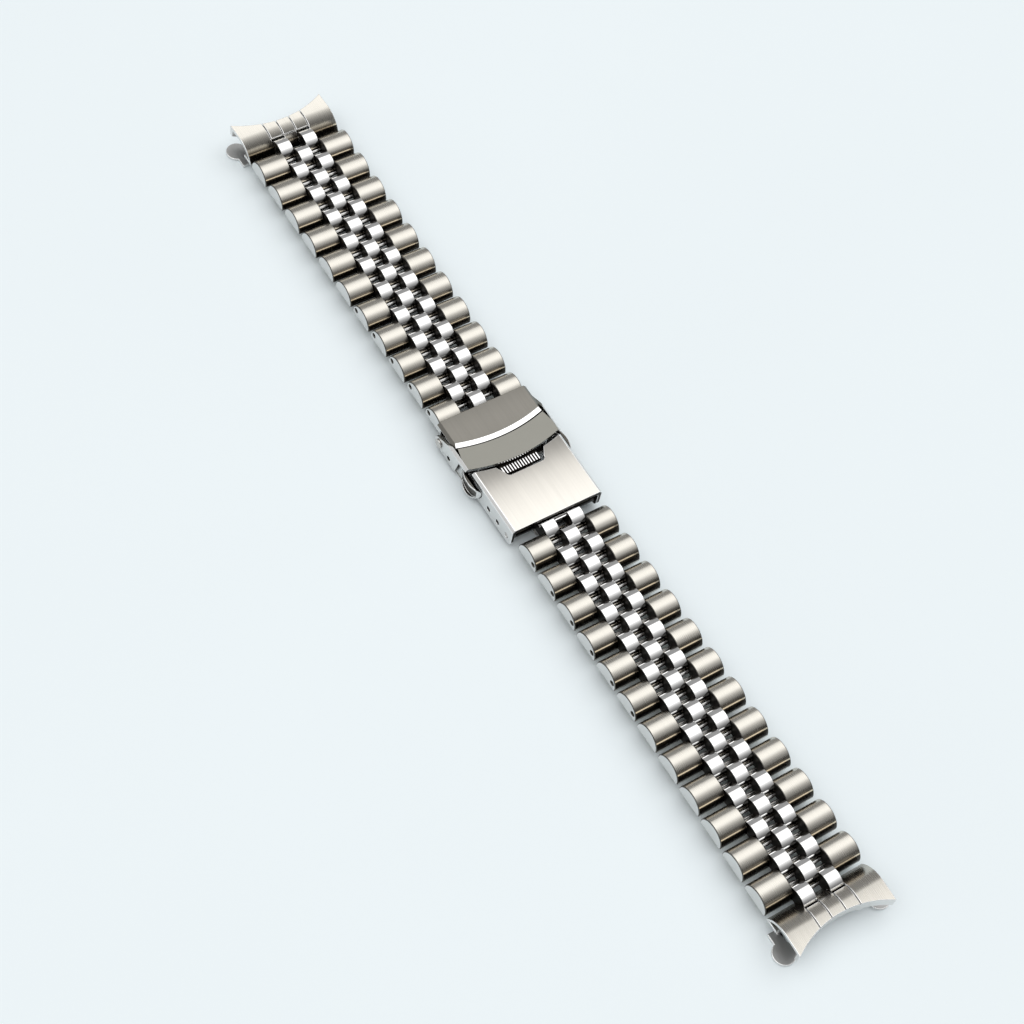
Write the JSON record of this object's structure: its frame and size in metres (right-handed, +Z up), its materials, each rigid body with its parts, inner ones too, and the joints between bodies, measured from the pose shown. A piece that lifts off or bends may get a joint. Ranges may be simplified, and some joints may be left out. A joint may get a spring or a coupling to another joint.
{
  "type": "steel watch bracelet",
  "caption": "Tapering steel watch bracelet of pinned links and polished beads, with a folding clasp, flip lock, push buttons and hollow end links.",
  "frame": {"origin": "middle of the bracelet laid out straight, on the surface that it rests on", "axes": "+X along the strap towards the end link that follows the connector, +Y across the strap, +Z up, out of the wrist side"},
  "size_m": [0.1954, 0.024, 0.0059],
  "materials": {
    "brushed_link": "brushed along the strap",
    "polished_bead": "polished",
    "end_link_steel": "brushed along the strap",
    "pin_steel": "turned",
    "cover_steel": "brushed along the strap",
    "matte_lock_steel": "fine matte",
    "button_steel": "satin",
    "blade_steel": "brushed"
  },
  "bodies": {
    "cover": {"clasp_cover": "cover_steel", "cover_hinge_pin": "pin_steel", "spring_bar": "pin_steel"},
    "middle_blade": {"middle_blade": "blade_steel"},
    "lower_blade": {"lower_blade": "blade_steel", "blade_hinge_pin": "pin_steel", "end_plate": "matte_lock_steel", "flip_lock_pins": "pin_steel"},
    "flip_lock": {"flip_lock": "matte_lock_steel"},
    "connector": {"clasp_connector": "polished_bead"},
    "left_button": {"push_button_left": "button_steel"},
    "right_button": {"push_button_right": "button_steel"},
    "upper_row_01": {"upper_outer_row_01": "brushed_link"},
    "upper_beads_01": {"upper_inner_row_01": "polished_bead"},
    "upper_row_02": {"upper_outer_row_02": "brushed_link"},
    "upper_beads_02": {"upper_inner_row_02": "polished_bead"},
    "upper_row_03": {"upper_outer_row_03": "brushed_link"},
    "upper_beads_03": {"upper_inner_row_03": "polished_bead"},
    "upper_row_04": {"upper_outer_row_04": "brushed_link"},
    "upper_beads_04": {"upper_inner_row_04": "polished_bead"},
    "upper_row_05": {"upper_outer_row_05": "brushed_link"},
    "upper_beads_05": {"upper_inner_row_05": "polished_bead"},
    "upper_row_06": {"upper_outer_row_06": "brushed_link"},
    "upper_beads_06": {"upper_inner_row_06": "polished_bead"},
    "upper_row_07": {"upper_outer_row_07": "brushed_link"},
    "upper_beads_07": {"upper_inner_row_07": "polished_bead"},
    "upper_row_08": {"upper_outer_row_08": "brushed_link"},
    "upper_beads_08": {"upper_inner_row_08": "polished_bead"},
    "upper_row_09": {"upper_outer_row_09": "brushed_link"},
    "upper_beads_09": {"upper_inner_row_09": "polished_bead"},
    "upper_row_10": {"upper_outer_row_10": "brushed_link"},
    "upper_beads_10": {"upper_inner_row_10": "polished_bead"},
    "upper_row_11": {"upper_outer_row_11": "brushed_link"},
    "upper_beads_11": {"upper_inner_row_11": "polished_bead"},
    "upper_end_link": {"upper_end_link": "end_link_steel"},
    "lower_row_01": {"lower_outer_row_01": "brushed_link"},
    "lower_beads_01": {"lower_inner_row_01": "polished_bead"},
    "lower_row_02": {"lower_outer_row_02": "brushed_link"},
    "lower_beads_02": {"lower_inner_row_02": "polished_bead"},
    "lower_row_03": {"lower_outer_row_03": "brushed_link"},
    "lower_beads_03": {"lower_inner_row_03": "polished_bead"},
    "lower_row_04": {"lower_outer_row_04": "brushed_link"},
    "lower_beads_04": {"lower_inner_row_04": "polished_bead"},
    "lower_row_05": {"lower_outer_row_05": "brushed_link"},
    "lower_beads_05": {"lower_inner_row_05": "polished_bead"},
    "lower_row_06": {"lower_outer_row_06": "brushed_link"},
    "lower_beads_06": {"lower_inner_row_06": "polished_bead"},
    "lower_row_07": {"lower_outer_row_07": "brushed_link"},
    "lower_beads_07": {"lower_inner_row_07": "polished_bead"},
    "lower_row_08": {"lower_outer_row_08": "brushed_link"},
    "lower_beads_08": {"lower_inner_row_08": "polished_bead"},
    "lower_row_09": {"lower_outer_row_09": "brushed_link"},
    "lower_beads_09": {"lower_inner_row_09": "polished_bead"},
    "lower_row_10": {"lower_outer_row_10": "brushed_link"},
    "lower_beads_10": {"lower_inner_row_10": "polished_bead"},
    "lower_row_11": {"lower_outer_row_11": "brushed_link"},
    "lower_beads_11": {"lower_inner_row_11": "polished_bead"},
    "lower_row_12": {"lower_outer_row_12": "brushed_link"},
    "lower_beads_12": {"lower_inner_row_12": "polished_bead"},
    "lower_end_link": {"lower_end_link": "end_link_steel"}
  },
  "joints": [
    {"name": "cover_fold", "type": "hinge", "parent": "cover", "child": "middle_blade", "pos_m": [-0.00065, 0, 0.0042], "axis": [0, -1, 0], "range_deg": [-125, 0]},
    {"name": "blade_fold", "type": "hinge", "parent": "middle_blade", "child": "lower_blade", "pos_m": [0.00805, 0, 0.00085], "axis": [0, 1, 0], "range_deg": [-165, 0]},
    {"name": "flip_lock_swing", "type": "hinge", "parent": "lower_blade", "child": "flip_lock", "pos_m": [-0.01545, 0, 0.0026], "axis": [0, 1, 0], "range_deg": [-100, 0]},
    {"name": "connector_swing", "type": "hinge", "parent": "cover", "child": "connector", "pos_m": [0.00705, 0, 0.0026], "axis": [0, 1, 0], "range_deg": [-6, 15]},
    {"name": "left_button_press", "type": "slide", "parent": "lower_blade", "child": "left_button", "axis": [0, -1, 0], "range_m": [0, 0.0008], "stiffness_N_per_m": 200},
    {"name": "right_button_press", "type": "slide", "parent": "lower_blade", "child": "right_button", "axis": [0, 1, 0], "range_m": [0, 0.0008], "stiffness_N_per_m": 200},
    {"name": "upper_row_11_hinge", "type": "hinge", "parent": "lower_blade", "child": "upper_row_11", "pos_m": [-0.01795, 0, 0.0037], "axis": [0, -1, 0], "range_deg": [-6, 20]},
    {"name": "upper_beads_11_hinge", "type": "hinge", "parent": "upper_row_11", "child": "upper_beads_11", "pos_m": [-0.02155, 0, 0.0037], "axis": [0, 1, 0], "range_deg": [-20, 6]},
    {"name": "upper_row_10_hinge", "type": "hinge", "parent": "upper_beads_11", "child": "upper_row_10", "pos_m": [-0.02455, 0, 0.0037], "axis": [0, -1, 0], "range_deg": [-6, 20]},
    {"name": "upper_beads_10_hinge", "type": "hinge", "parent": "upper_row_10", "child": "upper_beads_10", "pos_m": [-0.02815, 0, 0.0037], "axis": [0, 1, 0], "range_deg": [-20, 6]},
    {"name": "upper_row_09_hinge", "type": "hinge", "parent": "upper_beads_10", "child": "upper_row_09", "pos_m": [-0.03115, 0, 0.0037], "axis": [0, -1, 0], "range_deg": [-6, 20]},
    {"name": "upper_beads_09_hinge", "type": "hinge", "parent": "upper_row_09", "child": "upper_beads_09", "pos_m": [-0.03475, 0, 0.0037], "axis": [0, 1, 0], "range_deg": [-20, 6]},
    {"name": "upper_row_08_hinge", "type": "hinge", "parent": "upper_beads_09", "child": "upper_row_08", "pos_m": [-0.03775, 0, 0.0037], "axis": [0, -1, 0], "range_deg": [-6, 20]},
    {"name": "upper_beads_08_hinge", "type": "hinge", "parent": "upper_row_08", "child": "upper_beads_08", "pos_m": [-0.04135, 0, 0.0037], "axis": [0, 1, 0], "range_deg": [-20, 6]},
    {"name": "upper_row_07_hinge", "type": "hinge", "parent": "upper_beads_08", "child": "upper_row_07", "pos_m": [-0.04435, 0, 0.0037], "axis": [0, -1, 0], "range_deg": [-6, 20]},
    {"name": "upper_beads_07_hinge", "type": "hinge", "parent": "upper_row_07", "child": "upper_beads_07", "pos_m": [-0.04795, 0, 0.0037], "axis": [0, 1, 0], "range_deg": [-20, 6]},
    {"name": "upper_row_06_hinge", "type": "hinge", "parent": "upper_beads_07", "child": "upper_row_06", "pos_m": [-0.05095, 0, 0.0037], "axis": [0, -1, 0], "range_deg": [-6, 20]},
    {"name": "upper_beads_06_hinge", "type": "hinge", "parent": "upper_row_06", "child": "upper_beads_06", "pos_m": [-0.05455, 0, 0.0037], "axis": [0, 1, 0], "range_deg": [-20, 6]},
    {"name": "upper_row_05_hinge", "type": "hinge", "parent": "upper_beads_06", "child": "upper_row_05", "pos_m": [-0.05755, 0, 0.0037], "axis": [0, -1, 0], "range_deg": [-6, 20]},
    {"name": "upper_beads_05_hinge", "type": "hinge", "parent": "upper_row_05", "child": "upper_beads_05", "pos_m": [-0.06115, 0, 0.0037], "axis": [0, 1, 0], "range_deg": [-20, 6]},
    {"name": "upper_row_04_hinge", "type": "hinge", "parent": "upper_beads_05", "child": "upper_row_04", "pos_m": [-0.06415, 0, 0.0037], "axis": [0, -1, 0], "range_deg": [-6, 20]},
    {"name": "upper_beads_04_hinge", "type": "hinge", "parent": "upper_row_04", "child": "upper_beads_04", "pos_m": [-0.06775, 0, 0.0037], "axis": [0, 1, 0], "range_deg": [-20, 6]},
    {"name": "upper_row_03_hinge", "type": "hinge", "parent": "upper_beads_04", "child": "upper_row_03", "pos_m": [-0.07075, 0, 0.0037], "axis": [0, -1, 0], "range_deg": [-6, 20]},
    {"name": "upper_beads_03_hinge", "type": "hinge", "parent": "upper_row_03", "child": "upper_beads_03", "pos_m": [-0.07435, 0, 0.0037], "axis": [0, 1, 0], "range_deg": [-20, 6]},
    {"name": "upper_row_02_hinge", "type": "hinge", "parent": "upper_beads_03", "child": "upper_row_02", "pos_m": [-0.07735, 0, 0.0037], "axis": [0, -1, 0], "range_deg": [-6, 20]},
    {"name": "upper_beads_02_hinge", "type": "hinge", "parent": "upper_row_02", "child": "upper_beads_02", "pos_m": [-0.08095, 0, 0.0037], "axis": [0, 1, 0], "range_deg": [-20, 6]},
    {"name": "upper_row_01_hinge", "type": "hinge", "parent": "upper_beads_02", "child": "upper_row_01", "pos_m": [-0.08395, 0, 0.0037], "axis": [0, -1, 0], "range_deg": [-6, 20]},
    {"name": "upper_beads_01_hinge", "type": "hinge", "parent": "upper_row_01", "child": "upper_beads_01", "pos_m": [-0.08755, 0, 0.0037], "axis": [0, 1, 0], "range_deg": [-20, 6]},
    {"name": "upper_end_link_hinge", "type": "hinge", "parent": "upper_beads_01", "child": "upper_end_link", "pos_m": [-0.09055, 0, 0.0037], "axis": [0, -1, 0], "range_deg": [-6, 20]},
    {"name": "lower_row_01_hinge", "type": "hinge", "parent": "connector", "child": "lower_row_01", "pos_m": [0.01135, 0, 0.0037], "axis": [0, 1, 0], "range_deg": [-6, 20]},
    {"name": "lower_beads_01_hinge", "type": "hinge", "parent": "lower_row_01", "child": "lower_beads_01", "pos_m": [0.01495, 0, 0.0037], "axis": [0, -1, 0], "range_deg": [-20, 6]},
    {"name": "lower_row_02_hinge", "type": "hinge", "parent": "lower_beads_01", "child": "lower_row_02", "pos_m": [0.01795, 0, 0.0037], "axis": [0, 1, 0], "range_deg": [-6, 20]},
    {"name": "lower_beads_02_hinge", "type": "hinge", "parent": "lower_row_02", "child": "lower_beads_02", "pos_m": [0.02155, 0, 0.0037], "axis": [0, -1, 0], "range_deg": [-20, 6]},
    {"name": "lower_row_03_hinge", "type": "hinge", "parent": "lower_beads_02", "child": "lower_row_03", "pos_m": [0.02455, 0, 0.0037], "axis": [0, 1, 0], "range_deg": [-6, 20]},
    {"name": "lower_beads_03_hinge", "type": "hinge", "parent": "lower_row_03", "child": "lower_beads_03", "pos_m": [0.02815, 0, 0.0037], "axis": [0, -1, 0], "range_deg": [-20, 6]},
    {"name": "lower_row_04_hinge", "type": "hinge", "parent": "lower_beads_03", "child": "lower_row_04", "pos_m": [0.03115, 0, 0.0037], "axis": [0, 1, 0], "range_deg": [-6, 20]},
    {"name": "lower_beads_04_hinge", "type": "hinge", "parent": "lower_row_04", "child": "lower_beads_04", "pos_m": [0.03475, 0, 0.0037], "axis": [0, -1, 0], "range_deg": [-20, 6]},
    {"name": "lower_row_05_hinge", "type": "hinge", "parent": "lower_beads_04", "child": "lower_row_05", "pos_m": [0.03775, 0, 0.0037], "axis": [0, 1, 0], "range_deg": [-6, 20]},
    {"name": "lower_beads_05_hinge", "type": "hinge", "parent": "lower_row_05", "child": "lower_beads_05", "pos_m": [0.04135, 0, 0.0037], "axis": [0, -1, 0], "range_deg": [-20, 6]},
    {"name": "lower_row_06_hinge", "type": "hinge", "parent": "lower_beads_05", "child": "lower_row_06", "pos_m": [0.04435, 0, 0.0037], "axis": [0, 1, 0], "range_deg": [-6, 20]},
    {"name": "lower_beads_06_hinge", "type": "hinge", "parent": "lower_row_06", "child": "lower_beads_06", "pos_m": [0.04795, 0, 0.0037], "axis": [0, -1, 0], "range_deg": [-20, 6]},
    {"name": "lower_row_07_hinge", "type": "hinge", "parent": "lower_beads_06", "child": "lower_row_07", "pos_m": [0.05095, 0, 0.0037], "axis": [0, 1, 0], "range_deg": [-6, 20]},
    {"name": "lower_beads_07_hinge", "type": "hinge", "parent": "lower_row_07", "child": "lower_beads_07", "pos_m": [0.05455, 0, 0.0037], "axis": [0, -1, 0], "range_deg": [-20, 6]},
    {"name": "lower_row_08_hinge", "type": "hinge", "parent": "lower_beads_07", "child": "lower_row_08", "pos_m": [0.05755, 0, 0.0037], "axis": [0, 1, 0], "range_deg": [-6, 20]},
    {"name": "lower_beads_08_hinge", "type": "hinge", "parent": "lower_row_08", "child": "lower_beads_08", "pos_m": [0.06115, 0, 0.0037], "axis": [0, -1, 0], "range_deg": [-20, 6]},
    {"name": "lower_row_09_hinge", "type": "hinge", "parent": "lower_beads_08", "child": "lower_row_09", "pos_m": [0.06415, 0, 0.0037], "axis": [0, 1, 0], "range_deg": [-6, 20]},
    {"name": "lower_beads_09_hinge", "type": "hinge", "parent": "lower_row_09", "child": "lower_beads_09", "pos_m": [0.06775, 0, 0.0037], "axis": [0, -1, 0], "range_deg": [-20, 6]},
    {"name": "lower_row_10_hinge", "type": "hinge", "parent": "lower_beads_09", "child": "lower_row_10", "pos_m": [0.07075, 0, 0.0037], "axis": [0, 1, 0], "range_deg": [-6, 20]},
    {"name": "lower_beads_10_hinge", "type": "hinge", "parent": "lower_row_10", "child": "lower_beads_10", "pos_m": [0.07435, 0, 0.0037], "axis": [0, -1, 0], "range_deg": [-20, 6]},
    {"name": "lower_row_11_hinge", "type": "hinge", "parent": "lower_beads_10", "child": "lower_row_11", "pos_m": [0.07735, 0, 0.0037], "axis": [0, 1, 0], "range_deg": [-6, 20]},
    {"name": "lower_beads_11_hinge", "type": "hinge", "parent": "lower_row_11", "child": "lower_beads_11", "pos_m": [0.08095, 0, 0.0037], "axis": [0, -1, 0], "range_deg": [-20, 6]},
    {"name": "lower_row_12_hinge", "type": "hinge", "parent": "lower_beads_11", "child": "lower_row_12", "pos_m": [0.08395, 0, 0.0037], "axis": [0, 1, 0], "range_deg": [-6, 20]},
    {"name": "lower_beads_12_hinge", "type": "hinge", "parent": "lower_row_12", "child": "lower_beads_12", "pos_m": [0.08755, 0, 0.0037], "axis": [0, -1, 0], "range_deg": [-20, 6]},
    {"name": "lower_end_link_hinge", "type": "hinge", "parent": "lower_beads_12", "child": "lower_end_link", "pos_m": [0.09055, 0, 0.0037], "axis": [0, 1, 0], "range_deg": [-6, 20]}
  ]
}
